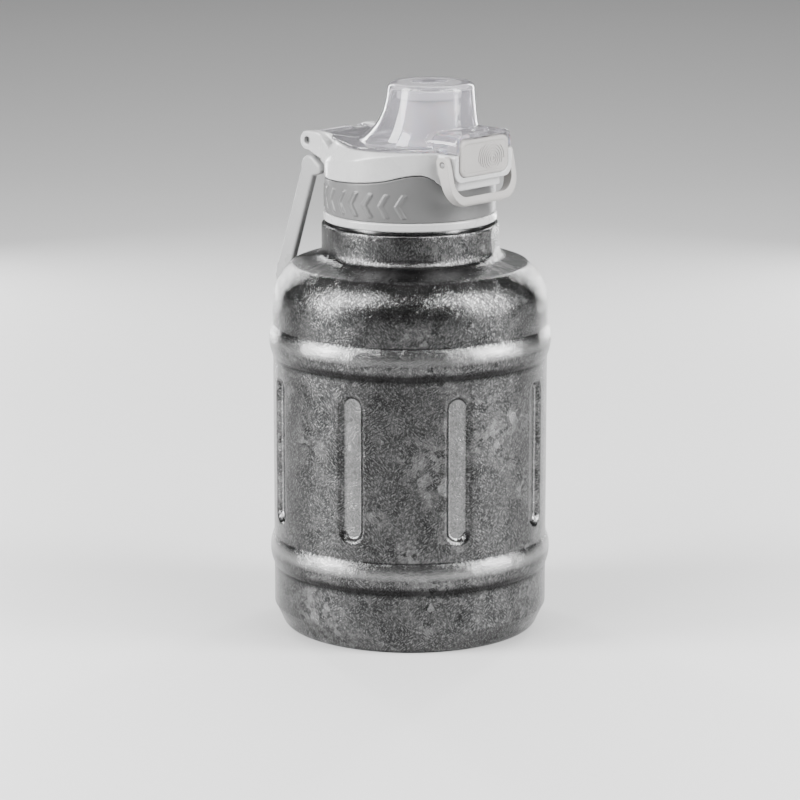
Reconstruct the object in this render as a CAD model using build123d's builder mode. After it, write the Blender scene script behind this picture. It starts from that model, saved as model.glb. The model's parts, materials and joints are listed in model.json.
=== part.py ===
from build123d import *
import os
from math import cos, radians, sin, sqrt

# Large double-wall steel water jug with a screw-on spout lid, a clear flip cover with a push
# button and a lock bail, and a carry handle. Millimetres. The origin is the centre of the
# resting circle of the base, +Z is up, the button is at the front (-Y), the hinge at the
# rear (+Y). The lid is modelled screwed down, with the cover shut.

# ---------------------------------------------------------------- driving dimensions
# Bottle
steel = 0.8                    # sheet thickness of the outer shell and the base cup
wall_r = 66.6                  # straight wall
rib_r = 68.4                   # crest of the two round ribs
rib_z = (37.8, 141.6)          # crest heights
rib_half_height = 7.7
seam_z = 10.0                  # joint between the base cup and the shell
foot_r = 61.0                  # resting circle
base_recess = 3.0
shoulder_start_z = 156.0
# Bends of the shoulder: radius, height and the outward normal there. The last two are the
# crease and the end of the shallow cone.
shoulder = ((66.0, 166.4, 0.99, 0.13), (62.5, 172.6, 0.75, 0.66), (57.0, 178.7, 0.45, 0.89),
            (48.0, 181.6, 0.31, 0.95))
neck_r = 42.8
rim_z = 198.6
groove_count = 8
groove_start_angle = 17.5
groove_floor_r = 64.0
groove_floor_width = 8.3
groove_length = 67.6
groove_mid_z = 89.8
groove_flare = 50              # slope of the groove's side walls, degrees
# Liner and mouth
liner_r = 62.6
liner_t = 0.7
liner_floor_z = 6.6
liner_shoulder = ((61.6, 164.6, 0.98, 0.2), (57.6, 170.4, 0.7, 0.7), (52.0, 174.8, 0.4, 0.92),
                  (43.0, 178.0, 0.35, 0.94))
mouth_r = 34.5
mouth_bore_r = 33.6
mouth_top_z = 220.9
# Thread of the mouth, one start
thread_pitch = 8.0
thread_turns = 1.25
thread_crest_r = 35.9
thread_base_z = 204.6          # centre of the ridge at the +X side
thread_height = 2.4
lug_height = 2.2
lug_gap = 0.3
lug_angles = (60, 180, 300)
# Lid base and band
ring_r = 41.9
ring_z = (200.0, 204.1)
collar_r = 38.8
collar_bore_r = 36.2
ceiling_z = (222.8, 225.0)
band_r = 41.1
edge_gap = 0.4                 # shadow gap between the band and the cap
chevron_count, chevron_from, chevron_pitch = 8, 54, 11.5
chevron_z, chevron_height, chevron_rise = 212.0, 11.0, 0.6
# Cap
cap_r = 41.3
deck_z = 237.2
deck_t = 2.5
cavity_r = 33.0
edge_rear_z, edge_crest_z, ledge_z = 219.9, 227.0, 219.6
ledge_half, ledge_back, ledge_front = 17.0, -29.5, -44.5
rim_rise = ((3.0, 237.2), (37.0, 240.0))  # rim outside the cover, climbing to the ears
shoulder_z, shoulder_slope = 232.7, 0.155
cone_top_z, cone_top_r = 250.0, 30.0
# Spout
spout_y = -12.2
spout_r = 13.2
spout_bore_r = 10.8
spout_top_z = 259.5
ring_groove_z = 229.0
# Cover hinge
hinge_y, hinge_z = 46.5, 235.7
pin_r = 1.9
lug_r = 4.6
ear_in, ear_out = 18.0, 23.3
ear_sweep = 6.0                # radius of the hollow between an ear and the cap's side
# Top edge of an ear, running forward, along its inner and its outer face
ear_top_y = 41.0
ear_step = 2.4                 # thickness of the higher, inner layer
ear_inner_edge = ((36.3, 240.0), (33.0, 239.7), (30.0, 239.4), (26.3, 239.0), (20.0, 238.4))
ear_outer_edge = ((36.3, 238.8), (33.0, 236.9), (30.0, 234.5), (26.3, 232.5), (20.0, 231.4))
ear_under = ((34.0, 226.2), (45.0, 230.8))
leaf_half, leaf_t = 17.6, 1.9
fit = 0.05                     # radial clearance of a running fit
# Cover
cover_z = 237.4
flange_r, flange_t = 37.8, 1.6
cover_cut_y = (39.6, 2.6)       # ends of the straight cut beside the leaf
rim_gap = 0.4
cover_t = 2.0
dome_top_z = 267.3
hood_half, hood_top_z, hood_front, hood_back = 19.5, 246.5, 46.9, 28.0
hood_wall, hood_roof = 2.2, 1.9
catch_y, catch_w, catch_rise = -43.75, 2.9, 1.7
cover_top_t = 2.6
knuckle_r = 4.2
spring_slot = (7.0, 15.0)
spring_r, spring_wire_r, spring_pitch = 3.0, 0.45, 1.05
retainer_side, retainer_stem_r = 13.0, 2.0
seal_r, seal_z = 15.3, 259.6
# Cradle and button
cradle_half, cradle_wall = 20.3, 2.8
cradle_z = (223.7, 237.0)
cradle_floor = 2.4
pocket_back = 36.0
button_w, button_h = 34.4, 17.6
button_z = 234.9               # centre of the face
button_front, button_back = 47.5, 40.0
button_wall = 2.4              # face of the button
hook_z, hook_tip_y, hook_front_y = 240.2, -40.8, -43.0
latch_back, latch_front = 38.8, 40.2
latch_t = 2.6
slot_front, slot_w, slot_deep = 46.0, 11.0, 3.8
coil_r, coil_pitch, coil_wire_r = 3.0, 2.0, 0.4
pad_w, pad_h = 29.0, 13.4
pad_t = 0.8
pad_centre_x, pad_ridges, pad_pitch, pad_rise = 5.5, 8, 1.4, 0.3
# Lock bail
bail_y, bail_z = -41.7, 232.6
bail_in, bail_out = 20.5, 23.8
bail_reach = 18.7
bail_bar_r = 2.15
bail_rest_angle = 14.3
bail_bend_r = 11.5             # outside of the two lower bends
bail_arm_w, bail_arm_h = 6.5, 7.6
bail_pin_r = 1.0
bail_sink_r, bail_sink = 1.5, 0.8  # counterbore over each pin
# Carry handle
handle_y, handle_z = 45.8, 222.6
handle_in, handle_out = 20.0, 23.5
handle_head = ((45.3, 223.4, 5.3), (40.2, 222.3, 3.0))  # y, z and radius of the head's ends
handle_width = 8.7
handle_round = 1.4
handle_angle = 18.6            # rearward of straight down, at rest
handle_foot_z = 164.0
grip_r, grip_height, grip_t = 71.4, 10.0, 12.0
handle_pin_r = 1.6
handle_pin = (12.0, 22.4)      # ends of each pin
handle_lug_r = 4.0
shoulder_gap = 0.6


# ---------------------------------------------------------------- shared outlines
def rib(z, inset=0):
    """Half-round rib of the wall, from its lower to its upper end."""
    ThreePointArc((wall_r - inset, z - rib_half_height), (rib_r - inset, z),
                  (wall_r - inset, z + rib_half_height))


def bottle_outline(inset=0):
    """Closed half section of the bottle's outside below the rim, moved in by inset."""
    low, high = rib_z
    wall = wall_r - inset
    neck = neck_r - inset
    lip_r = 1.4 - inset
    bends = [(r - inset * across, z - inset * up) for r, z, across, up in shoulder]
    crease, cone_end = bends[-2:]
    Polyline((0, rim_z - inset), (0, 0), (wall, 0), (wall, low - rib_half_height))
    rib(low, inset)
    Line((wall, low + rib_half_height), (wall, high - rib_half_height))
    rib(high, inset)
    Line((wall, high + rib_half_height), (wall, shoulder_start_z))
    Spline((wall, shoulder_start_z), *bends[:-1], tangents=[(0, 1), (-1, 0.55)])
    Line(crease, cone_end)
    TangentArc(cone_end, (neck, 187.0), tangent=(-9.0, 2.9))
    Line((neck, 187.0), (neck, rim_z - 1.4))
    CenterArc((neck - lip_r, rim_z - 1.4), lip_r, 0, 90)
    Line((neck - lip_r, rim_z - inset), (0, rim_z - inset))


def bottle_solid(growth):
    """The bottle's outside as a full solid, grown by the given distance."""
    with BuildPart() as solid:
        with BuildSketch(Plane.XZ):
            with BuildLine():
                bottle_outline(-growth)
            make_face()
        revolve(axis=Axis.Z)
    return solid.part


def liner_outline(inset=0):
    """Closed half section of the liner's outside up to the mouth, moved in by inset."""
    wall = liner_r - inset
    mouth = mouth_r - inset
    floor = liner_floor_z + inset
    bends = [(r - inset * across, z - inset * up) for r, z, across, up in liner_shoulder]
    Line((0, floor), (liner_r - 5, floor))
    CenterArc((liner_r - 5, liner_floor_z + 5), 5 - inset, -90, 90)
    Line((wall, liner_floor_z + 5), (wall, shoulder_start_z))
    Spline((wall, shoulder_start_z), *bends[:-1], tangents=[(0, 1), (-1, 0.4)])
    Line(*bends[-2:])
    Spline(bends[-1], (mouth, 190.0), tangents=[(-1, 0.4), (0, 1)])
    Polyline((mouth, 190.0), (mouth, mouth_top_z), (0, mouth_top_z), (0, floor))


def groove_tool(inset):
    """One pressed groove on the +X side, with its floor moved in by inset."""
    with BuildPart() as tool:
        with BuildSketch(Plane(origin=(groove_floor_r - inset, 0, groove_mid_z), x_dir=(0, 0, 1),
                               z_dir=(1, 0, 0))):
            SlotOverall(groove_length + inset, groove_floor_width + inset)
        extrude(amount=wall_r - groove_floor_r + 2, taper=-groove_flare)
    return tool.part


def groove_tray():
    """The sheet metal behind one groove, trimmed to the wall."""
    with BuildPart() as tray:
        add(groove_tool(steel))
        Cylinder(wall_r - 0.1, rim_z, align=(Align.CENTER, Align.CENTER, Align.MIN),
                 mode=Mode.INTERSECT)
    return tray.part


def thread_ridge():
    """The single-start ridge of the mouth, climbing anticlockwise from the +X side."""
    half = thread_height / 2
    with BuildPart() as ridge:
        with BuildLine() as helix:
            Helix(thread_pitch, thread_pitch * thread_turns, mouth_r,
                  center=(0, 0, thread_base_z))
        with BuildSketch(Plane(origin=helix.line @ 0, x_dir=(1, 0, 0), z_dir=helix.line % 0)):
            with BuildLine():
                Polyline((-0.4, -half), (thread_crest_r - mouth_r, -half / 2),
                         (thread_crest_r - mouth_r, half / 2), (-0.4, half), close=True)
            make_face()
        sweep(is_frenet=True)
    return ridge.part


def edge_block(shift, below):
    """Block on one side of the cap's wavy lower edge, as wide as the lid."""
    low, high = (190, 250)
    with BuildPart() as block:
        with BuildSketch(Plane.YZ):
            with BuildLine():
                Line((60, edge_rear_z + shift), (44, edge_rear_z + shift))
                Spline((44, edge_rear_z + shift), (25, 220.8 + shift), (8, 221.6 + shift),
                       (-5.2, 222.5 + shift), (-20, 224.8 + shift),
                       (-30, edge_crest_z + shift), tangents=[(-1, 0), (-1, 0)])
                Spline((-30, edge_crest_z + shift), (-34, 225.4 + shift),
                       (-36.4, 221.8 + shift), (-39, ledge_z + shift),
                       tangents=[(-1, 0), (-1, -0.2)])
                Polyline((-39, ledge_z + shift), (-60, ledge_z + shift),
                         (-60, low if below else high), (60, low if below else high),
                         (60, edge_rear_z + shift))
            make_face()
        extrude(amount=60, both=True)
    return block.part


# ---------------------------------------------------------------- bottle
with BuildPart() as outer_shell:
    with BuildSketch(Plane.XZ):
        with BuildLine():
            bottle_outline()
        make_face()
        with BuildLine():
            bottle_outline(steel)
        make_face(mode=Mode.SUBTRACT)
        with Locations(((mouth_r + 80) / 2, (seam_z + rim_z) / 2)):
            Rectangle(80 - mouth_r, rim_z - seam_z, mode=Mode.INTERSECT)
    revolve(axis=Axis.Z)
    groove_dies = PolarLocations(0, groove_count, start_angle=groove_start_angle)
    with groove_dies:
        add(groove_tray())
    with groove_dies:
        add(groove_tool(0), mode=Mode.SUBTRACT)

with BuildPart() as base_cup:
    with BuildSketch(Plane.XZ):
        with BuildLine():
            Line((wall_r - 0.5, seam_z), (65.6, 8.6))
            Spline((65.6, 8.6), (63.9, 5.0), (foot_r, 0), tangents=[(-0.3, -1), (-0.6, -0.4)])
            Polyline((foot_r, 0), (foot_r - 2.5, 0), (foot_r - 5, base_recess), (0, base_recess),
                     (0, base_recess + steel), (foot_r - 4.6, base_recess + steel),
                     (foot_r - 2.1, steel), (foot_r - 0.6, steel), (62.9, 5.2), (64.7, 8.9),
                     (64.9, seam_z), (wall_r - 0.5, seam_z))
        make_face()
    revolve(axis=Axis.Z)

with BuildPart() as base_disc:
    with Locations((0, 0, base_recess)):
        Cylinder(22, 0.8, align=(Align.CENTER, Align.CENTER, Align.MAX))
    fillet(base_disc.edges().sort_by(Axis.Z)[0], 0.5)

with BuildPart() as vacuum_getter:
    with Locations((0, 0, base_recess + steel)):
        Cylinder(6, 2.0, align=(Align.CENTER, Align.CENTER, Align.MIN))
    fillet(vacuum_getter.edges().sort_by(Axis.Z)[-1], 0.6)

with BuildPart() as inner_liner:
    with BuildSketch(Plane.XZ):
        with BuildLine():
            liner_outline()
        make_face()
        with BuildLine():
            liner_outline(liner_t)
        make_face(mode=Mode.SUBTRACT)
    revolve(axis=Axis.Z)
    add(thread_ridge())

# ---------------------------------------------------------------- lid
with BuildPart() as mouth_gasket:
    with Locations((0, 0, mouth_top_z + 0.1)):
        Cylinder(collar_bore_r - 0.1, ceiling_z[0] - mouth_top_z - 0.2,
                 align=(Align.CENTER, Align.CENTER, Align.MIN))
        Cylinder(mouth_bore_r - 0.4, 5, align=(Align.CENTER, Align.CENTER, Align.MIN),
                 mode=Mode.SUBTRACT)
    fillet(mouth_gasket.edges(), 0.35)

with BuildPart() as lid_base:
    with BuildSketch(Plane.XZ):
        with BuildLine():
            Polyline((0, ceiling_z[0]), (collar_bore_r, ceiling_z[0]),
                     (collar_bore_r, ring_z[0]), (ring_r, ring_z[0]), (ring_r, ring_z[1]),
                     (collar_r, ring_z[1]), (collar_r, ceiling_z[1]), (0, ceiling_z[1]),
                     close=True)
        make_face()
        fillet([vertex for vertex in vertices() if vertex.X > ring_r - 0.1], 1.0)
    revolve(axis=Axis.Z)
    for angle in lug_angles:
        lug_z = thread_base_z + thread_pitch * angle / 360 - thread_height - lug_gap - 0.1
        with BuildSketch(Plane.XZ.rotated((0, 0, angle - 7))):
            with Locations(((mouth_r + 0.4 + collar_bore_r + 0.5) / 2, lug_z)):
                Rectangle(collar_bore_r + 0.1 - mouth_r, lug_height)
        revolve(axis=Axis.Z, revolution_arc=14)
    with Locations((0, spout_y, ceiling_z[1])):
        Hole(spout_bore_r, 5)

with BuildPart() as grip_band:
    with Locations((0, 0, ring_z[1])):
        Cylinder(band_r, 30, align=(Align.CENTER, Align.CENTER, Align.MIN))
    for side in (-1, 1):
        for step in range(chevron_count):
            angle = -90 + side * (chevron_from + step * chevron_pitch)
            face_plane = Plane(origin=(band_r * cos(radians(angle)), band_r * sin(radians(angle)),
                                       chevron_z),
                               x_dir=(-sin(radians(angle)), cos(radians(angle)), 0),
                               z_dir=(cos(radians(angle)), sin(radians(angle)), 0))
            with BuildSketch(face_plane.offset(-0.8)):
                with BuildLine():
                    tip, half, bar = side * 1.7, chevron_height / 2, 1.1
                    Polyline((-tip - bar, half), (-tip + bar, half), (tip + bar, 0),
                             (-tip + bar, -half), (-tip - bar, -half), (tip - bar, 0), close=True)
                make_face()
            extrude(amount=0.8 + chevron_rise)
    with Locations((0, 0, ring_z[1])):
        Cylinder(collar_r, 30, align=(Align.CENTER, Align.CENTER, Align.MIN), mode=Mode.SUBTRACT)
    add(edge_block(-edge_gap, below=True), mode=Mode.INTERSECT)
    with Locations((0, ledge_front, ledge_z - edge_gap)):
        Box(2 * (ledge_half + edge_gap), ledge_back - ledge_front + 1, 20,
            align=(Align.CENTER, Align.MIN, Align.MIN), mode=Mode.SUBTRACT)

def ear_outline(edge):
    """Closed side view of a hinge ear whose top edge falls forward through the given points."""
    top = hinge_z + lug_r
    Polyline((hinge_y, hinge_z), (hinge_y, top), (ear_top_y, top))
    Spline((ear_top_y, top), *edge, tangents=[(-1, 0), (-1, -0.1)])
    Polyline(edge[-1], (edge[-1][0], ear_under[0][1]), *ear_under, (hinge_y, hinge_z))


def hinge_ear():
    """The ear on the +X side, blended into the cap by a hollow sweep."""
    hollow_x = ear_out + ear_sweep
    hollow_y = sqrt((cap_r + ear_sweep) ** 2 - hollow_x ** 2)
    touch = cap_r / (cap_r + ear_sweep)
    with BuildPart() as side:
        with BuildSketch(Plane.YZ.offset(ear_in)):
            with BuildLine():
                ear_outline(ear_outer_edge)
            make_face()
        extrude(amount=cap_r - ear_in)
        with BuildSketch(Plane.XY.offset(ear_under[0][1] - 1)):
            with BuildLine():
                RadiusArc((ear_out, hollow_y), (hollow_x * touch, hollow_y * touch), ear_sweep)
                Polyline((hollow_x * touch, hollow_y * touch), (30, 20), (ear_in, 20),
                         (ear_in, 60), (ear_out, 60), (ear_out, hollow_y))
            make_face()
        extrude(amount=20, mode=Mode.INTERSECT)
    with BuildPart() as ear:
        with BuildSketch(Plane.YZ.offset(ear_in)):
            with BuildLine():
                ear_outline(ear_inner_edge)
            make_face()
            with Locations((hinge_y, hinge_z)):
                Circle(lug_r)
        extrude(amount=ear_step)
        add(side.part)
        with BuildSketch(Plane.YZ.offset(ear_in)):
            with Locations((hinge_y, hinge_z)):
                Circle(lug_r)
        extrude(amount=ear_out - ear_in)
    return ear.part


def cover_outline(grow):
    """The cover's rim seen from above: a disc, cut straight towards the hinge leaf."""
    edge = leaf_half + grow
    with BuildSketch() as outline:
        Circle(flange_r + grow)
        for side in (-1, 1):
            with BuildLine():
                Polyline((side * edge, 60), (side * edge, cover_cut_y[0]),
                         (side * (flange_r + grow), cover_cut_y[1]),
                         (side * 60, cover_cut_y[1]), (side * 60, 60), close=True)
            make_face(mode=Mode.SUBTRACT)
    return outline.sketch


tilt = Plane(origin=(0, 0, shoulder_z), x_dir=(1, 0, 0), z_dir=(0, shoulder_slope, 1))
front = Plane(origin=(0, 0, 0), x_dir=(1, 0, 0), z_dir=(0, -1, 0))

with BuildPart() as lid_shell:
    with Locations((0, 0, ledge_z - 5)):
        Cylinder(cap_r, 40, align=(Align.CENTER, Align.CENTER, Align.MIN))
    split(bisect_by=tilt, keep=Keep.BOTTOM)
    with BuildSketch(tilt):
        Ellipse(cap_r, cap_r / tilt.z_dir.Z)
    with BuildSketch(Plane.XY.offset(cone_top_z)):
        Circle(cone_top_r)
    loft(ruled=True)
    # Flat deck at the front, and the rim that climbs to the ears
    with BuildSketch(Plane.YZ):
        with BuildLine():
            Polyline((-60, deck_z), *rim_rise, (60, rim_rise[-1][1]), (60, 260), (-60, 260),
                     close=True)
        make_face()
    extrude(amount=60, both=True, mode=Mode.SUBTRACT)
    add(edge_block(0, below=True), mode=Mode.SUBTRACT)
    # Cradle round the button, and the ledge under it
    with BuildSketch(front.offset(hood_front)) as cradle:
        with Locations((0, (cradle_z[0] + cradle_z[1]) / 2)):
            Rectangle(2 * cradle_half, cradle_z[1] - cradle_z[0])
        fillet(cradle.vertices().group_by(Axis.Y)[0], 5.2)
        fillet(cradle.vertices().group_by(Axis.Y)[-1], 1.2)
    extrude(amount=-hood_front + 30)
    with BuildSketch(Plane.XY.offset(ledge_z)) as ledge:
        with Locations((0, (ledge_back + ledge_front) / 2)):
            Rectangle(2 * ledge_half, ledge_back - ledge_front)
        fillet(ledge.vertices().group_by(Axis.Y)[0], 4)
    extrude(amount=cradle_z[0] - ledge_z + 0.5)
    add(hinge_ear())
    add(mirror(hinge_ear(), about=Plane.YZ, mode=Mode.PRIVATE))
    # Handle lug
    with BuildSketch(Plane.YZ):
        with Locations((handle_y, handle_z)):
            Circle(handle_lug_r)
        with BuildLine():
            Polyline((36, 220.4), (handle_y, 220.4), (handle_y, handle_z + handle_lug_r),
                     (36, handle_z + handle_lug_r), close=True)
        make_face()
    extrude(amount=handle_in - 0.3, both=True)
    # Well of the cover
    with BuildSketch(Plane.XY.offset(deck_z)):
        add(cover_outline(rim_gap))
    extrude(amount=10, mode=Mode.SUBTRACT)
    # Hollow for the lid base, and the space under the deck with the spout's socket
    with Locations((0, 0, ceiling_z[1])):
        Cylinder(collar_r, 40, align=(Align.CENTER, Align.CENTER, Align.MAX), mode=Mode.SUBTRACT)
    with BuildSketch(Plane.XY.offset(ceiling_z[1])):
        Circle(cavity_r)
        with Locations((0, spout_y)):
            Circle(spout_r + 2.4, mode=Mode.SUBTRACT)
    extrude(amount=deck_z - deck_t - ceiling_z[1], mode=Mode.SUBTRACT)
    with Locations((0, spout_y, deck_z)):
        Hole(spout_r - 0.2, 20)
    # Button pocket
    with BuildSketch(front.offset(pocket_back)) as pocket:
        with Locations((0, cradle_z[0] + cradle_floor)):
            Rectangle(2 * (cradle_half - cradle_wall), 20, align=(Align.CENTER, Align.MIN))
        fillet(pocket.vertices().group_by(Axis.Y)[0], 4.5)
    extrude(amount=20, mode=Mode.SUBTRACT)
    # Bores of the hinge pin, the bail pins and the handle pins
    for y, z, radius in ((hinge_y, hinge_z, pin_r), (bail_y, bail_z, bail_pin_r),
                         (handle_y, handle_z, handle_pin_r)):
        with BuildSketch(Plane.YZ):
            with Locations((y, z)):
                Circle(radius)
        extrude(amount=cap_r, both=True, mode=Mode.SUBTRACT)

with BuildPart() as spout:
    with BuildSketch(Plane.XZ.offset(-spout_y)):
        with BuildLine():
            Polyline((spout_bore_r, ceiling_z[1]), (spout_r - 0.25, ceiling_z[1]),
                     (spout_r - 0.25, ring_groove_z), (spout_r - 1.2, ring_groove_z),
                     (spout_r - 1.2, ring_groove_z + 1.6), (spout_r - 0.25, ring_groove_z + 1.6),
                     (spout_r - 0.25, deck_z), (spout_r + 3.0, deck_z),
                     (spout_r + 3.0, deck_z + 0.8))
            Spline((spout_r + 3.0, deck_z + 0.8), (spout_r, deck_z + 5.5),
                   tangents=[(-1, 0.3), (0, 1)])
            Polyline((spout_r, deck_z + 5.5), (spout_r, spout_top_z),
                     (spout_bore_r, spout_top_z), (spout_bore_r, ceiling_z[1]))
        make_face()
    revolve(axis=Axis((0, spout_y, 0), (0, 0, 1)))
    fillet(spout.edges().group_by(Axis.Z)[-1], 0.8)

with BuildPart() as spout_o_ring:
    with Locations((0, spout_y, ring_groove_z + 0.8)):
        Torus(spout_r - 0.7, 0.48)

with BuildPart() as hinge_pin:
    with BuildSketch(Plane.YZ):
        with Locations((hinge_y, hinge_z)):
            Circle(pin_r)
    extrude(amount=ear_out - 2.2, both=True)
    chamfer(hinge_pin.edges().filter_by(GeomType.CIRCLE), 0.3)

with BuildPart() as hinge_spring:
    with BuildLine() as coil:
        Helix(spring_pitch, spring_slot[1] - spring_slot[0] - 1.6, spring_r,
              center=(spring_slot[0] + 0.8, hinge_y, hinge_z), direction=(1, 0, 0))
    with BuildSketch(Plane(origin=coil.line @ 0, z_dir=coil.line % 0)):
        Circle(spring_wire_r)
    sweep(is_frenet=True)

with BuildPart() as bail_pins:
    with BuildSketch(Plane.YZ.offset(cradle_half - cradle_wall + 0.1)):
        with Locations((bail_y, bail_z)):
            Circle(bail_pin_r)
    extrude(amount=bail_out - cradle_half + cradle_wall - 0.4)
    mirror(about=Plane.YZ)

with BuildPart() as handle_pins:
    with BuildSketch(Plane.YZ.offset(handle_pin[0])):
        with Locations((handle_y, handle_z)):
            Circle(handle_pin_r)
    extrude(amount=handle_pin[1] - handle_pin[0])
    mirror(about=Plane.YZ)

# ---------------------------------------------------------------- flip cover
def dome(inset, floor, top):
    """Bell-shaped dome, set in by the given wall."""
    sections = ((cover_z + flange_t, 5.0, 30.5), (242.5, 8.5, 27.0), (248.0, 11.1, 24.0),
                (262.0, 13.3, 20.9))
    with BuildPart() as bell:
        with BuildSketch(Plane.XY.offset(floor)):
            with Locations((0, -sections[0][1])):
                Circle(sections[0][2] + 0.8 - inset)
        for height, forward, radius in sections[1:]:
            with BuildSketch(Plane.XY.offset(height)):
                with Locations((0, -forward)):
                    Circle(radius - inset)
        with BuildSketch(Plane.XY.offset(top)):
            with Locations((0, -13.7)):
                Circle(20.3 - inset)
        loft()
    return bell.part


with BuildPart() as flip_cover:
    # Hood over the button, open at the front and underneath
    with BuildSketch(front.offset(hood_back)) as hood:
        with Locations((0, (cover_z + hood_top_z) / 2)):
            Rectangle(2 * hood_half, hood_top_z - cover_z)
        fillet(hood.vertices().group_by(Axis.Y)[-1], 5)
    extrude(amount=hood_front - hood_back)
    with BuildSketch(front.offset(hood_back - 8)) as hood_hollow:
        with Locations((0, cover_z - 1)):
            Rectangle(2 * (hood_half - hood_wall), hood_top_z - hood_roof - cover_z + 1,
                      align=(Align.CENTER, Align.MIN))
        fillet(hood_hollow.vertices().group_by(Axis.Y)[-1], 3.2)
    extrude(amount=40, mode=Mode.SUBTRACT)
    # Catch bump on top, and the hook that the button holds
    with BuildSketch(Plane.YZ):
        with Locations((catch_y, hood_top_z)):
            Rectangle(catch_w, 2 * catch_rise)
        with BuildLine():
            Polyline((hook_front_y, hood_top_z - 1.5), (hook_front_y, hook_z),
                     (hook_tip_y, hook_z), (hook_tip_y, hook_z + 1.2),
                     (hook_tip_y - 0.8, hook_z + 1.2), (hook_tip_y - 0.8, hood_top_z - 1.5),
                     close=True)
        make_face()
    extrude(amount=5, both=True)
    # Flange, cut back at the button
    with BuildSketch(Plane.XY.offset(cover_z)):
        add(cover_outline(0))
        with Locations((0, -pocket_back - 10)):
            Rectangle(2 * (hood_half - hood_wall), 20, mode=Mode.SUBTRACT)
    extrude(amount=flange_t)
    # Leaf and knuckles of the hinge
    with BuildSketch(Plane.YZ):
        with BuildLine():
            Polyline((20, cover_z), (hinge_y - 4, cover_z), (hinge_y, hinge_z),
                     (hinge_y, hinge_z + knuckle_r), (hinge_y - 4, cover_z + leaf_t),
                     (20, cover_z + leaf_t), close=True)
        make_face()
        with Locations((hinge_y, hinge_z)):
            Circle(knuckle_r)
            Circle(pin_r + fit, mode=Mode.SUBTRACT)
    extrude(amount=leaf_half, both=True)
    add(dome(0, cover_z, dome_top_z))
    fillet(flip_cover.edges().group_by(Axis.Z)[-1], 2.8)
    add(dome(cover_t, cover_z - 0.5, dome_top_z - cover_top_t), mode=Mode.SUBTRACT)
    # Slot for the hinge spring
    with Locations(((spring_slot[0] + spring_slot[1]) / 2, hinge_y, hinge_z)):
        Box(spring_slot[1] - spring_slot[0], 2 * knuckle_r + 1.2, 2 * knuckle_r + 1.2,
            mode=Mode.SUBTRACT)
    # Seat of the seal's retainer
    with Locations((0, spout_y, dome_top_z)):
        Box(retainer_side, retainer_side, 1.2, mode=Mode.SUBTRACT)
        Hole(retainer_stem_r, 5)

with BuildPart() as cover_seal:
    with Locations((0, spout_y, seal_z)):
        Cylinder(seal_r, dome_top_z - cover_top_t - seal_z,
                 align=(Align.CENTER, Align.CENTER, Align.MIN))
    fillet(cover_seal.edges().group_by(Axis.Z)[0], 1.2)
    with Locations((0, spout_y, seal_z)):
        Cone(8.6, 9.6, 1.6, align=(Align.CENTER, Align.CENTER, Align.MAX))
        Hole(retainer_stem_r, 10)

with BuildPart() as seal_retainer:
    with Locations((0, spout_y, dome_top_z - 0.6)):
        Box(retainer_side - 0.3, retainer_side - 0.3, 1.1,
            align=(Align.CENTER, Align.CENTER, Align.MIN))
    fillet(seal_retainer.edges().filter_by(Axis.Z), 1.5)
    fillet(seal_retainer.faces().sort_by(Axis.Z)[-1].edges(), 0.4)
    with Locations((0, spout_y, dome_top_z - 0.6)):
        Cylinder(retainer_stem_r, 6.5, align=(Align.CENTER, Align.CENTER, Align.MAX))

# ---------------------------------------------------------------- button
with BuildPart() as push_button:
    with BuildSketch(front.offset(button_back)) as button_block:
        with Locations((0, button_z)):
            Rectangle(button_w, button_h)
        fillet(button_block.vertices().group_by(Axis.Y)[-1], 3.5)
        fillet(button_block.vertices().group_by(Axis.Y)[0], 5)
    extrude(amount=button_front - button_back)
    fillet(push_button.faces().sort_by(Axis.Y)[0].edges(), 1.1)
    with BuildSketch(front.offset(button_back)) as button_hollow:
        with Locations((0, button_z)):
            Rectangle(button_w - 4, button_h - 4)
        fillet(button_hollow.vertices(), 2)
    extrude(amount=button_front - button_back - button_wall, mode=Mode.SUBTRACT)
    # Latch bar behind the top wall, with the slot that the cover's hook comes down through
    top = button_z + button_h / 2
    with Locations((0, -latch_back, top)):
        Box(button_w - 8, button_back + 0.2 - latch_back, latch_t,
            align=(Align.CENTER, Align.MAX, Align.MAX))
    with Locations((0, -latch_front, top)):
        Box(slot_w, slot_front - latch_front, 2 * slot_deep,
            align=(Align.CENTER, Align.MAX, Align.CENTER), mode=Mode.SUBTRACT)
    # Recess for the pad
    with BuildSketch(front.offset(button_front)) as pad_seat:
        with Locations((0, button_z)):
            Rectangle(pad_w, pad_h)
        fillet(pad_seat.vertices(), 2.2)
    extrude(amount=-pad_t, mode=Mode.SUBTRACT)

with BuildPart() as button_pad:
    with BuildSketch(front.offset(button_front - pad_t)) as pad_face:
        with Locations((0, button_z)):
            Rectangle(pad_w, pad_h)
        fillet(pad_face.vertices(), 2.2)
    extrude(amount=pad_t)
    with BuildSketch(front.offset(button_front)):
        with Locations((pad_centre_x, button_z - 1.5)):
            for step in reversed(range(pad_ridges)):
                Circle(1.6 + step * pad_pitch)
                Circle(1.0 + step * pad_pitch, mode=Mode.SUBTRACT)
        with Locations((pad_centre_x - 1, button_z)):
            Ellipse(9.5, pad_h / 2 - 0.6, mode=Mode.INTERSECT)
    extrude(amount=pad_rise)

spring_len = button_front - button_wall - pocket_back
with BuildPart() as button_spring:
    with BuildLine() as coil:
        Helix(coil_pitch, spring_len - 1.0, coil_r, center=(0, -pocket_back - 0.5, button_z - 3),
              direction=(0, -1, 0))
    with BuildSketch(Plane(origin=coil.line @ 0, z_dir=coil.line % 0)):
        Circle(coil_wire_r)
    sweep(is_frenet=True)

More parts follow.
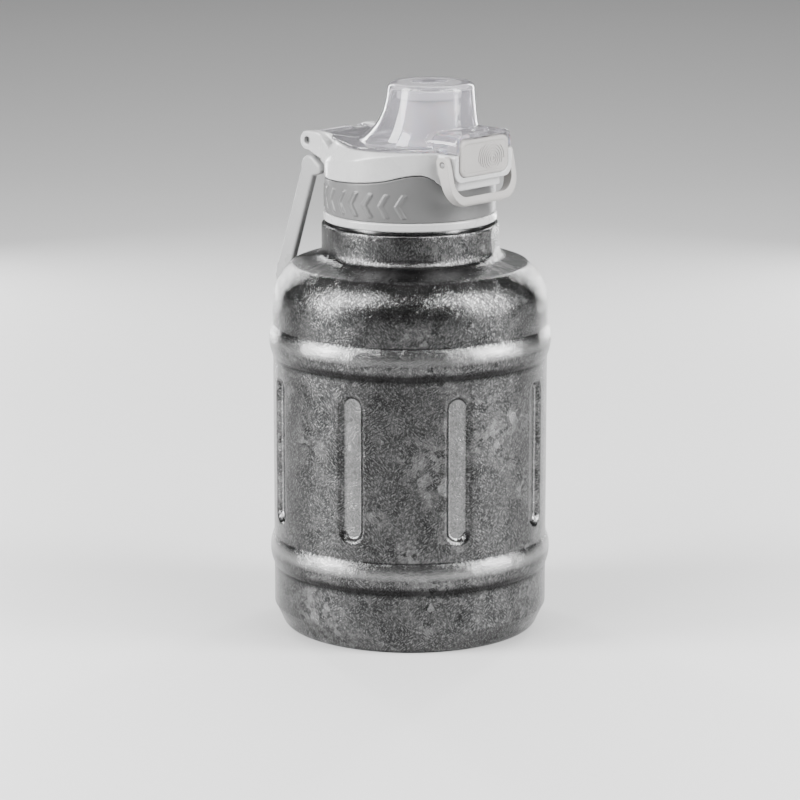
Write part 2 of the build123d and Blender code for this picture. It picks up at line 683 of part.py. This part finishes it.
# ---------------------------------------------------------------- lock bail
lean = radians(bail_rest_angle)
bail_face = Plane(origin=(0, bail_y, bail_z), x_dir=(1, 0, 0), z_dir=(0, -cos(lean), sin(lean)))
bail_side = Plane(origin=(0, bail_y, bail_z), x_dir=(0, -cos(lean), sin(lean)), z_dir=(1, 0, 0))

with BuildPart() as lock_bail:
    with BuildSketch(bail_face) as loop:
        with Locations((0, 3.6)):
            Rectangle(2 * bail_out, 3.6 + bail_reach + bail_bar_r,
                      align=(Align.CENTER, Align.MAX))
        fillet(loop.vertices().group_by(Axis.Y)[0], bail_bend_r)
        with Locations((0, 8)):
            Rectangle(2 * bail_in, 8 + bail_reach - bail_bar_r, align=(Align.CENTER, Align.MAX),
                      mode=Mode.SUBTRACT)
        fillet(loop.vertices().group_by(Axis.Y)[1], bail_bend_r - bail_out + bail_in)
    extrude(amount=5, both=True)
    with BuildSketch(bail_side) as arm_side:
        with Locations((0, 0.2)):
            Rectangle(bail_arm_w, bail_arm_h)
        fillet(arm_side.vertices(), 1.6)
        with Locations((0, bail_reach)):
            Circle(bail_bar_r)
        make_hull()
    extrude(amount=30, both=True, mode=Mode.INTERSECT)
    with BuildSketch(bail_side):
        Circle(bail_pin_r + fit)
    extrude(amount=30, both=True, mode=Mode.SUBTRACT)
    for side in (-1, 1):
        with BuildSketch(bail_side.offset(side * (bail_out - bail_sink))):
            Circle(bail_sink_r)
        extrude(amount=side * 5, mode=Mode.SUBTRACT)

# ---------------------------------------------------------------- carry handle
def grip():
    """Grip of the carry handle, curved round the back of the shoulder."""
    with BuildPart() as bar:
        with BuildSketch(Plane.XZ) as section:
            with Locations((grip_r, handle_foot_z)):
                Rectangle(grip_t, grip_height, align=(Align.MAX, Align.MIN))
            fillet(section.vertices().group_by(Axis.X)[-1], 2.4)
        revolve(axis=Axis.Z)
        with Locations((0, 60, handle_foot_z)):
            Box(2 * handle_out, 60, 60, mode=Mode.INTERSECT)
    return bar.part


def handle_arm():
    """The arm on the +X side, with its outer edges rounded."""
    slope = radians(handle_angle)
    strap_len = (handle_z - handle_foot_z) / cos(slope)
    with BuildPart() as arm:
        with BuildSketch(Plane.YZ.offset(handle_in)):
            for y, z, radius in handle_head:
                with Locations((y, z)):
                    Circle(radius)
            make_hull()
            with Locations(Location((handle_y, handle_z), handle_angle)):
                Rectangle(handle_width, strap_len, align=(Align.CENTER, Align.MAX))
        extrude(amount=handle_out - handle_in)
        fillet(arm.faces().sort_by(Axis.X)[-1].edges(), handle_round)
        with BuildSketch(Plane.YZ):
            with Locations((handle_y, handle_z)):
                Circle(handle_pin_r + fit)
        extrude(amount=handle_pin[1] + 0.1, mode=Mode.SUBTRACT)
    return arm.part


with BuildPart() as carry_handle:
    add(handle_arm())
    mirror(about=Plane.YZ)
    add(grip())
    add(bottle_solid(shoulder_gap), mode=Mode.SUBTRACT)

subcomponents = dict(outer_shell=outer_shell, base_cup=base_cup, base_disc=base_disc,
            vacuum_getter=vacuum_getter, inner_liner=inner_liner, mouth_gasket=mouth_gasket,
            lid_base=lid_base, grip_band=grip_band, lid_shell=lid_shell, spout=spout,
            spout_o_ring=spout_o_ring, hinge_pin=hinge_pin, hinge_spring=hinge_spring,
            bail_pins=bail_pins, handle_pins=handle_pins, flip_cover=flip_cover,
            cover_seal=cover_seal, seal_retainer=seal_retainer, push_button=push_button,
            button_pad=button_pad, button_spring=button_spring, lock_bail=lock_bail,
            carry_handle=carry_handle)
os.makedirs("parts", exist_ok=True)
for name, piece in subcomponents.items():
    piece.part.label = name
    export_step(piece.part, f"parts/{name}.step")
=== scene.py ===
import json
import math

import bpy
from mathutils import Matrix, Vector


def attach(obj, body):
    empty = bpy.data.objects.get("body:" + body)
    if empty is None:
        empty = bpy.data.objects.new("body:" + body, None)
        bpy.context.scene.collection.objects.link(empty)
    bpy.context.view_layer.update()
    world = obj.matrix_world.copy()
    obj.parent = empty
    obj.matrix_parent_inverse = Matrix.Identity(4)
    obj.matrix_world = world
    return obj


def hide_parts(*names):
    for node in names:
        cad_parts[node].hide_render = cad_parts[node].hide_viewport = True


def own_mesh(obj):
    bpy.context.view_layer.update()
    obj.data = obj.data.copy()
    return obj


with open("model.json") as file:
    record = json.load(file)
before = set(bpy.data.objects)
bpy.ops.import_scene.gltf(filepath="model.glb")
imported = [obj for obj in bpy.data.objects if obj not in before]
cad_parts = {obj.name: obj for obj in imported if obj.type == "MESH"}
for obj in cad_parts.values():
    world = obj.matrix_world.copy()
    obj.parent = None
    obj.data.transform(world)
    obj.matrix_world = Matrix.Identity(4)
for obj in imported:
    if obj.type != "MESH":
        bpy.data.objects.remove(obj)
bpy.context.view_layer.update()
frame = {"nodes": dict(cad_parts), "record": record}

# Large water jug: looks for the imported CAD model. Metres, +Z up, the button faces -Y and the
# hinge is at +Y. Lengths that are written in millimetres are turned to metres with MM.
MM = 0.001
nodes = frame["nodes"]
node_slot = {s["node"]: s["material_slot"] for s in frame["record"]["subparts"]}


# ---------------------------------------------------------------- sizes, in millimetres
WALL_R = 66.6
INSIDE_R = 63.0
NECK_R = 42.8
MOUTH_R = 34.6
SEAM_Z = 10.0
SHOULDER_Z = 156.0
RIM_Z = 198.6
RIB_R = 68.4
RIB_HEIGHTS = (37.8, 141.6)
RIB_HALF = 7.7
RIB_STEPS = 24
RIB_FOOT = 0.4                  # short run of wall beside each rib
GROOVES = 8
GROOVE_START = 17.5             # degrees from +X to the first groove
GROOVE_LOW, GROOVE_HIGH = 60.15, 119.45
GROOVE_FLOOR_HALF, GROOVE_HALF = 4.15, 7.3
GROOVE_DEPTH = 2.6
GROOVE_MARGIN = 0.4
GROOVED_LOW, GROOVED_HIGH = 52.0, 128.0
FINE_COLUMNS, COARSE_COLUMNS = 34, 14

# ---------------------------------------------------------------- camera, floor and light
AIM_HEIGHT = 110 * MM
CAMERA_DISTANCE = 1659 * MM
CAMERA_AZIMUTH = math.radians(-47.5)
CAMERA_ELEVATION = math.radians(12.8)
AIM_LEFT = 4.9 * MM
LENS = 153.0


def camera_axes():
    """Unit vectors from the jug to the camera and to the camera's right, level."""
    toward = Vector((math.sin(CAMERA_AZIMUTH), -math.cos(CAMERA_AZIMUTH), 0))
    right = Vector((math.cos(CAMERA_AZIMUTH), math.sin(CAMERA_AZIMUTH), 0))
    return toward, right


def add_camera():
    toward, right = camera_axes()
    aim = Vector((0, 0, AIM_HEIGHT)) - right * AIM_LEFT
    back = toward * math.cos(CAMERA_ELEVATION) + Vector((0, 0, math.sin(CAMERA_ELEVATION)))
    data = bpy.data.cameras.new("camera")
    data.lens = LENS
    data.sensor_width = 36
    data.clip_end = 100
    camera = bpy.data.objects.new("camera", data)
    camera.location = aim + back * CAMERA_DISTANCE
    camera.rotation_mode = "QUATERNION"
    camera.rotation_quaternion = (-back).to_track_quat("-Z", "Y")
    bpy.context.scene.collection.objects.link(camera)
    bpy.context.scene.camera = camera


def add_softbox(name, turn, height, distance, size, power):
    """Area light that looks at the jug from an angle to the camera's right, in degrees."""
    toward, right = camera_axes()
    angle = math.radians(turn)
    spot = (toward * math.cos(angle) + right * math.sin(angle)) * distance
    spot.z = height
    data = bpy.data.lights.new(name, "AREA")
    data.shape = "RECTANGLE"
    data.size, data.size_y = size
    data.energy = power
    light = bpy.data.objects.new(name, data)
    light.location = spot
    light.rotation_mode = "QUATERNION"
    aim = Vector((0, 0, AIM_HEIGHT))
    light.rotation_quaternion = (aim - spot).to_track_quat("-Z", "Y")
    bpy.context.scene.collection.objects.link(light)


def add_stage():
    mesh = bpy.data.meshes.new("floor")
    reach = 12.0
    mesh.from_pydata([(-reach, -reach, 0), (reach, -reach, 0), (reach, reach, 0),
                      (-reach, reach, 0)], [], [(0, 1, 2, 3)])
    floor = bpy.data.objects.new("floor", mesh)
    bpy.context.scene.collection.objects.link(floor)
    paint = bpy.data.materials.new("floor_paint")
    paint.use_nodes = True
    shader = paint.node_tree.nodes["Principled BSDF"]
    shader.inputs["Base Color"].default_value = (0.55, 0.55, 0.55, 1)
    shader.inputs["Roughness"].default_value = 0.55
    mesh.materials.append(paint)
    world = bpy.data.worlds.new("studio")
    world.use_nodes = True
    world.node_tree.nodes["Background"].inputs["Color"].default_value = (1, 1, 1, 1)
    world.node_tree.nodes["Background"].inputs["Strength"].default_value = 0.16
    bpy.context.scene.world = world
    add_softbox("panel_left", -74, 0.75, 1.3, (0.5, 1.2), 62)
    add_softbox("panel_right", 74, 0.75, 1.3, (0.5, 1.2), 55)
    add_softbox("rim_left", -152, 0.34, 1.0, (0.07, 0.8), 8)
    add_softbox("rim_right", 152, 0.34, 1.0, (0.07, 0.8), 8)
    add_softbox("high_left", -44, 0.85, 0.75, (0.36, 0.36), 9)
    add_softbox("high_right", 44, 0.85, 0.75, (0.36, 0.36), 8)
    add_softbox("top", 160, 1.3, 0.5, (0.7, 0.7), 5)
    add_softbox("backdrop_fill", 180, 2.6, 2.4, (3.0, 3.0), 42)


# ---------------------------------------------------------------- node helpers
class Graph:
    """Short names for building one material's nodes."""

    def __init__(self, name):
        self.material = bpy.data.materials.new(name)
        self.material.use_nodes = True
        self.tree = self.material.node_tree
        self.shader = self.tree.nodes["Principled BSDF"]
        self.place = self.node("ShaderNodeTexCoord").outputs["Object"]

    def node(self, kind, **settings):
        made = self.tree.nodes.new(kind)
        for key, value in settings.items():
            setattr(made, key, value)
        return made

    def link(self, source, target):
        self.tree.links.new(source, target)

    def set(self, name, value):
        self.shader.inputs[name].default_value = value

    def feed(self, name, source):
        self.link(source, self.shader.inputs[name])

    def noise(self, scale, detail=3.0, roughness=0.5, place=None, distortion=0.0):
        made = self.node("ShaderNodeTexNoise")
        made.inputs["Scale"].default_value = scale
        made.inputs["Detail"].default_value = detail
        made.inputs["Roughness"].default_value = roughness
        made.inputs["Distortion"].default_value = distortion
        self.link(place or self.place, made.inputs["Vector"])
        return made.outputs["Fac"]

    def cells(self, scale, place):
        made = self.node("ShaderNodeTexVoronoi")
        made.inputs["Scale"].default_value = scale
        self.link(place, made.inputs["Vector"])
        return made.outputs["Color"]

    def ramp(self, source, low, high, low_value=0.0, high_value=1.0):
        """Maps source from low..high to low_value..high_value, clamped."""
        made = self.node("ShaderNodeMapRange")
        for key, value in (("From Min", low), ("From Max", high), ("To Min", low_value),
                           ("To Max", high_value)):
            made.inputs[key].default_value = value
        self.link(source, made.inputs["Value"])
        return made.outputs["Result"]

    def parts(self):
        """X, Y and Z of the place, as outputs."""
        made = self.node("ShaderNodeSeparateXYZ")
        self.link(self.place, made.inputs["Vector"])
        return [made.outputs[axis] for axis in ("X", "Y", "Z")]

    def math(self, operation, first, second=None):
        made = self.node("ShaderNodeMath", operation=operation)
        for index, value in enumerate((first, second)):
            if value is None:
                continue
            if isinstance(value, (int, float)):
                made.inputs[index].default_value = value
            else:
                self.link(value, made.inputs[index])
        return made.outputs["Value"]

    def mix(self, factor, first, second):
        """Mixes two colours, each an output or a tuple."""
        made = self.node("ShaderNodeMix", data_type="RGBA")
        self.link(factor, made.inputs["Factor"])
        for key, value in ((6, first), (7, second)):
            if isinstance(value, tuple):
                made.inputs[key].default_value = value
            else:
                self.link(value, made.inputs[key])
        return made.outputs[2]

    def bump(self, height, distance, strength=1.0, under=None):
        made = self.node("ShaderNodeBump")
        made.inputs["Distance"].default_value = distance
        made.inputs["Strength"].default_value = strength
        self.link(height, made.inputs["Height"])
        if under is not None:
            self.link(under, made.inputs["Normal"])
        return made.outputs["Normal"]

    def edges(self, low=0.51, high=0.56):
        """1 on outside edges, 0 elsewhere."""
        return self.ramp(self.node("ShaderNodeNewGeometry").outputs["Pointiness"], low, high)


def grey(value, warm=0.0):
    return (value * (1 + warm), value, value * (1 - warm), 1)


# ---------------------------------------------------------------- materials
def wrapped_place(graph, radius):
    """Coordinates laid out flat round the axis: arc length from the front, height."""
    x, y, z = graph.parts()
    turn = graph.math("ARCTAN2", x, graph.math("MULTIPLY", y, -1.0))
    arc = graph.math("MULTIPLY", turn, radius)
    made = graph.node("ShaderNodeCombineXYZ")
    graph.link(arc, made.inputs["X"])
    graph.link(z, made.inputs["Y"])
    return made.outputs["Vector"]


def stretched(graph, place, angle, along, across):
    """Place turned by angle in its plane and scaled, so noise on it draws fine strokes."""
    made = graph.node("ShaderNodeMapping", vector_type="TEXTURE")
    made.inputs["Rotation"].default_value = (0, 0, math.radians(angle))
    made.inputs["Scale"].default_value = (along, across, 1)
    graph.link(place, made.inputs["Vector"])
    return made.outputs["Vector"]


def groove_floor(graph):
    """1 on the floors of the pressed grooves, 0 elsewhere."""
    x, y, z = graph.parts()
    radius = graph.math("SQRT", graph.math("ADD", graph.math("POWER", x, 2.0),
                                           graph.math("POWER", y, 2.0)))
    floor = WALL_R - GROOVE_DEPTH
    inside = graph.ramp(radius, (floor + 0.9) * MM, (floor + 0.2) * MM)
    above = graph.ramp(z, (GROOVED_LOW - 2) * MM, (GROOVED_LOW + 2) * MM)
    below = graph.ramp(z, (GROOVED_HIGH + 2) * MM, (GROOVED_HIGH - 2) * MM)
    return graph.math("MULTIPLY", inside, graph.math("MULTIPLY", above, below))


def ring_band(graph, height, reach):
    """1 at a height on the wall, in metres, falling to 0 at reach above and below it."""
    z = graph.parts()[2]
    away = graph.math("ABSOLUTE", graph.math("SUBTRACT", z, height))
    return graph.ramp(away, reach, 0.3 * reach)


def steel_material(name, radius):
    """Dark mottled sheet: crossed fine strokes, cloudy blotches and pale flakes, with a
    painted highlight over each rib's upper half and a painted shadow line under each rib.
    """
    graph = Graph(name)
    flat = wrapped_place(graph, radius)
    strokes = [graph.noise(1.0, 3.0, 0.62, stretched(graph, flat, angle, 2.0 * MM, 0.6 * MM))
               for angle in (35, -42, 80)]
    choose = graph.ramp(graph.noise(130, 3.0, 0.6), 0.40, 0.60)
    crossed = graph.node("ShaderNodeMix")
    graph.link(choose, crossed.inputs["Factor"])
    graph.link(strokes[0], crossed.inputs[2])
    graph.link(strokes[1], crossed.inputs[3])
    scratch = graph.math("ADD", graph.math("MULTIPLY", crossed.outputs[0], 0.65),
                         graph.math("MULTIPLY", strokes[2], 0.35))
    cloud = graph.noise(105, 5.0, 0.62, distortion=0.4)
    tone = graph.mix(graph.ramp(cloud, 0.30, 0.72), grey(0.018), grey(0.082))
    flake = graph.ramp(graph.cells(330, flat), 0.35, 0.95)
    patch = graph.ramp(graph.noise(38, 4.0, 0.6), 0.50, 0.64, 0.0, 0.5)
    tone = graph.mix(graph.math("MULTIPLY", flake, patch), tone, grey(0.3))
    tone = graph.mix(graph.ramp(scratch, 0.50, 0.64, 0.0, 0.65), tone, grey(0.30))
    tone = graph.mix(graph.ramp(scratch, 0.47, 0.34, 0.0, 0.75), tone, grey(0.010))
    wear = graph.ramp(scratch, 0.3, 0.65, 0.12, 0.42)
    rubbed = graph.math("MULTIPLY", groove_floor(graph), wear)
    tone = graph.mix(rubbed, tone, grey(0.42))
    for middle in RIB_HEIGHTS:
        # Painted highlight: a lighter band over the upper half of each rib.
        painted_rib_highlight = graph.math("MULTIPLY", ring_band(graph, (middle + 3.2) * MM, 4.2 * MM), 0.55)
        tone = graph.mix(painted_rib_highlight, tone, grey(0.40))
        # Painted shade: a near-black band along the crease below each rib.
        painted_rib_shade = graph.math("MULTIPLY", ring_band(graph, (middle - 6.9) * MM, 3.4 * MM), 0.85)
        tone = graph.mix(painted_rib_shade, tone, grey(0.006))
    graph.feed("Base Color", tone)
    graph.set("Metallic", 1.0)
    graph.feed("Roughness", graph.ramp(scratch, 0.3, 0.7, 0.30, 0.17))
    dents = graph.bump(graph.noise(210, 3.0, 0.6), 0.32 * MM, 0.5)
    graph.feed("Normal", graph.bump(scratch, 0.30 * MM, 1.0, dents))
    return graph.material


def plain_steel(name, tone=0.6, roughness=0.25):
    """Machined or drawn steel of the small parts."""
    graph = Graph(name)
    brushed = graph.noise(1800, 3.0)
    graph.feed("Base Color", graph.mix(graph.ramp(brushed, 0.3, 0.7), grey(tone * 0.85),
                                       grey(tone * 1.1)))
    graph.set("Metallic", 1.0)
    graph.feed("Roughness", graph.ramp(brushed, 0.3, 0.7, roughness * 0.8, roughness * 1.3))
    graph.feed("Normal", graph.bump(brushed, 0.02 * MM, 0.5))
    return graph.material


def plastic(name, tone, roughness, grain=0.02, warm=0.0, coat=0.0):
    """Moulded plastic: faint colour drift, fine grain, lighter rubbed edges."""
    graph = Graph(name)
    drift = graph.ramp(graph.noise(45, 3.0), 0.3, 0.7)
    base = graph.mix(drift, grey(tone * 0.95, warm), grey(tone * 1.04, warm))
    specks = graph.ramp(graph.noise(1400, 2.0), 0.60, 0.72, 0.0, 0.12)
    base = graph.mix(specks, base, grey(tone * 0.7, warm))
    rubbed = graph.math("MULTIPLY", graph.edges(), graph.ramp(graph.noise(120, 4.0), 0.4, 0.65,
                                                              0.0, 0.35))
    graph.feed("Base Color", graph.mix(rubbed, base, grey(min(1.0, tone * 1.25), warm)))
    grains = graph.noise(3200, 2.0)
    smear = graph.noise(70, 4.0, 0.6)
    graph.feed("Roughness", graph.ramp(smear, 0.3, 0.7, roughness * 0.85, roughness * 1.15))
    graph.feed("Normal", graph.bump(grains, grain * MM, 0.5))
    if coat:
        graph.set("Coat Weight", coat)
        graph.set("Coat Roughness", 0.12)
    return graph.material


def clear_plastic(name):
    """Clear, slightly violet plastic with faint haze and hair scratches."""
    graph = Graph(name)
    graph.set("Base Color", (0.87, 0.855, 0.90, 1))
    graph.set("Transmission Weight", 0.94)
    graph.set("IOR", 1.46)
    haze = graph.noise(60, 4.0, 0.6)
    graph.feed("Roughness", graph.ramp(haze, 0.35, 0.7, 0.03, 0.12))
    hair = graph.noise(1.0, 2.0, 0.6, stretched(graph, graph.place, 25, 6 * MM, 0.25 * MM))
    graph.feed("Normal", graph.bump(hair, 0.004 * MM, 0.4))
    return graph.material


def translucent_plastic(name, tone):
    """Milky plastic of the spout."""
    graph = Graph(name)
    drift = graph.ramp(graph.noise(60, 3.0), 0.3, 0.7)
    graph.feed("Base Color", graph.mix(drift, grey(tone * 0.96), grey(tone * 1.03)))
    graph.set("Subsurface Weight", 0.25)
    graph.set("Subsurface Scale", 0.004)
    graph.feed("Roughness", graph.ramp(graph.noise(90, 3.0), 0.3, 0.7, 0.28, 0.38))
    graph.feed("Normal", graph.bump(graph.noise(1500, 2.0), 0.01 * MM, 0.4))
    return graph.material


def silicone(name, tone):
    """Matt silicone of the seals."""
    graph = Graph(name)
    dust = graph.ramp(graph.noise(700, 4.0), 0.5, 0.75, 0.0, 0.3)
    graph.feed("Base Color", graph.mix(dust, grey(tone), grey(min(1.0, tone * 1.15))))
    graph.feed("Roughness", graph.ramp(graph.noise(110, 3.0), 0.3, 0.7, 0.5, 0.65))
    graph.feed("Normal", graph.bump(graph.noise(2200, 2.0), 0.02 * MM, 0.5))
    return graph.material


def make_materials():
    return {
        "shell_steel": steel_material("shell_steel", WALL_R * MM),
        "liner_steel": plain_steel("liner_steel", 0.62, 0.3),
        "getter_alloy": plain_steel("getter_alloy", 0.4, 0.5),
        "pin_steel": plain_steel("pin_steel", 0.22, 0.35),
        "cap_plastic": plastic("cap_plastic", 0.37, 0.28, coat=0.25),
        "band_plastic": plastic("band_plastic", 0.085, 0.38),
        "spout_plastic": translucent_plastic("spout_plastic", 0.62),
        "clear_plastic": clear_plastic("clear_plastic"),
        "spout_seal": silicone("spout_seal", 0.66),
        "seal_silicone": silicone("seal_silicone", 0.7),
        "button_plastic": plastic("button_plastic", 0.27, 0.36, warm=0.035),
        "handle_plastic": plastic("handle_plastic", 0.24, 0.30),
    }


# ---------------------------------------------------------------- mesh helpers
def new_piece(name, mesh, body, slot, material, *replaced):
    """Visible piece that rides a body and stands for the CAD nodes it replaces."""
    piece = bpy.data.objects.new(name, mesh)
    bpy.context.scene.collection.objects.link(piece)
    mesh.materials.clear()
    mesh.materials.append(material)
    mesh.shade_smooth()
    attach(piece, body)
    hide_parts(*replaced)
    return piece


def softened(node, name, voxel, passes, body):
    """Copy of a CAD node with its edges rounded the way a moulding's are."""
    work = bpy.data.objects.new(name + "_work", nodes[node].data.copy())
    bpy.context.scene.collection.objects.link(work)
    remesh = work.modifiers.new("remesh", "REMESH")
    remesh.mode = "VOXEL"
    remesh.voxel_size = voxel * MM
    smooth = work.modifiers.new("smooth", "SMOOTH")
    smooth.factor = 0.5
    smooth.iterations = passes
    graph = bpy.context.evaluated_depsgraph_get()
    mesh = bpy.data.meshes.new_from_object(work.evaluated_get(graph))
    mesh.name = name
    bpy.data.objects.remove(work)
    slot = node_slot[node]
    return new_piece(name, mesh, body, slot, materials[slot], node)


def pressed_spring():
    """The button's coil, a copy of the CAD spring that rides the lid."""
    mesh = nodes["button_spring"].data.copy()
    coil = new_piece("return_spring", mesh, "lid", "pin_steel", materials["pin_steel"],
                     "button_spring")
    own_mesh(coil)


# ---------------------------------------------------------------- bottle
def bezier(start, first, second, end, count):
    """Points along a cubic from just after start to end."""
    made = []
    for step in range(1, count + 1):
        t = step / count
        s = 1 - t
        made.append(tuple(s ** 3 * a + 3 * s * s * t * b + 3 * s * t * t * c + t ** 3 * d
                          for a, b, c, d in zip(start, first, second, end)))
    return made


def wall_run(low, high, step):
    """Straight wall between two heights."""
    count = max(1, round((high - low) / step))
    return [(WALL_R, low + (high - low) * k / count) for k in range(1, count + 1)]


def rib_run(middle):
    """Half-round rib, a circular arc between its two feet."""
    rise = RIB_R - WALL_R
    bend = (RIB_HALF ** 2 + rise ** 2) / (2 * rise)
    made = []
    for step in range(1, RIB_STEPS + 1):
        across = RIB_HALF * (2 * step / RIB_STEPS - 1)
        made.append((WALL_R + math.sqrt(bend ** 2 - across ** 2) - bend + rise,
                     middle + across))
    return made


def shell_outline():
    """Outside of the shell from the base seam to the inside of the rolled rim."""
    low, high = RIB_HEIGHTS
    line = [(WALL_R - 0.45, SEAM_Z), (WALL_R - 0.1, SEAM_Z + 0.15), (WALL_R, SEAM_Z + 0.6)]
    line += wall_run(SEAM_Z + 0.6, low - RIB_HALF - RIB_FOOT, 4) + [(WALL_R, low - RIB_HALF)]
    line += rib_run(low)
    line += wall_run(low + RIB_HALF, low + RIB_HALF + RIB_FOOT, 1)
    line += wall_run(low + RIB_HALF + RIB_FOOT, GROOVED_LOW, 3)
    line += wall_run(GROOVED_LOW, GROOVED_HIGH, 0.5)
    line += wall_run(GROOVED_HIGH, high - RIB_HALF - RIB_FOOT, 3) + [(WALL_R, high - RIB_HALF)]
    line += rib_run(high)
    line += wall_run(high + RIB_HALF, high + RIB_HALF + RIB_FOOT, 1)
    line += wall_run(high + RIB_HALF + RIB_FOOT, SHOULDER_Z, 3)
    line += bezier((WALL_R, SHOULDER_Z), (WALL_R, 167.6), (65.0, 171.6), (57.0, 178.7), 26)
    line += bezier((57.0, 178.7), (55.4, 179.4), (51.0, 180.7), (48.2, 181.5), 8)
    line += bezier((48.2, 181.5), (44.6, 182.6), (NECK_R, 184.0), (NECK_R, 187.4), 12)
    line += [(NECK_R, 187.4 + step * 1.6) for step in range(1, 7)]
    line += bezier((NECK_R, 197.0), (NECK_R, 198.1), (42.3, RIM_Z), (41.4, RIM_Z), 6)
    line += [(38.0, RIM_Z), (MOUTH_R, RIM_Z)]
    return line


def groove_columns():
    """Angles of the mesh's columns, close together across each groove."""
    sector = 360 / GROOVES
    half = math.degrees((GROOVE_HALF + GROOVE_MARGIN) / WALL_R)
    fine = [-half + 2 * half * k / FINE_COLUMNS for k in range(FINE_COLUMNS)]
    coarse = [half + (sector - 2 * half) * k / COARSE_COLUMNS for k in range(COARSE_COLUMNS)]
    return [math.radians(GROOVE_START + sector * g + a) for g in range(GROOVES)
            for a in fine + coarse]


def groove_depth(angle, height):
    """How far the wall is pressed in at this place."""
    sector = 360 / GROOVES
    turn = (math.degrees(angle) - GROOVE_START + sector / 2) % sector - sector / 2
    across = math.radians(turn) * WALL_R
    beyond = max(GROOVE_LOW - height, 0, height - GROOVE_HIGH)
    away = math.hypot(across, beyond)
    if away >= GROOVE_HALF:
        return 0.0
    rise = max(0.0, (away - GROOVE_FLOOR_HALF) / (GROOVE_HALF - GROOVE_FLOOR_HALF))
    return GROOVE_DEPTH * (1 - rise) ** 2


def build_shell():
    """Visible shell, with rolled groove edges, closed along the inside of the sheet."""
    columns = groove_columns()
    outside = shell_outline()
    inside = [(MOUTH_R, 197.0), (40.6, 196.6), (41.0, 187.0), (42.8, 184.6), (47.6, 179.9),
              (55.6, 176.8), (61.0, 171.0), (INSIDE_R, 160.0), (INSIDE_R, 120.0),
              (INSIDE_R, 60.0), (INSIDE_R, SEAM_Z)]
    rings = outside + inside
    count = len(columns)
    points = []
    for index, (radius, height) in enumerate(rings):
        for angle in columns:
            pressed = groove_depth(angle, height) if index < len(outside) else 0.0
            reach = (radius - pressed) * MM
            points.append((reach * math.cos(angle), reach * math.sin(angle), height * MM))
    faces = []
    for ring in range(len(rings)):
        above = (ring + 1) % len(rings)
        for k in range(count):
            after = (k + 1) % count
            faces.append((ring * count + k, ring * count + after, above * count + after,
                          above * count + k))
    mesh = bpy.data.meshes.new("ribbed_shell")
    mesh.from_pydata(points, [], faces)
    mesh.validate()
    new_piece("ribbed_shell", mesh, "bottle", "shell_steel", materials["shell_steel"],
              "outer_shell")


# ---------------------------------------------------------------- build
add_camera()
add_stage()
materials = make_materials()
for node_name, cad in nodes.items():
    cad.data.materials.clear()
    cad.data.materials.append(materials[node_slot[node_name]])
build_shell()
softened("lid_shell", "cap_moulding", 0.4, 8, "lid")
softened("grip_band", "grip_band_moulding", 0.4, 3, "lid")
softened("flip_cover", "cover_moulding", 0.35, 6, "cover")
softened("push_button", "button_moulding", 0.25, 4, "button")
pressed_spring()
softened("lock_bail", "bail_moulding", 0.25, 5, "bail")
softened("carry_handle", "handle_moulding", 0.4, 6, "handle")
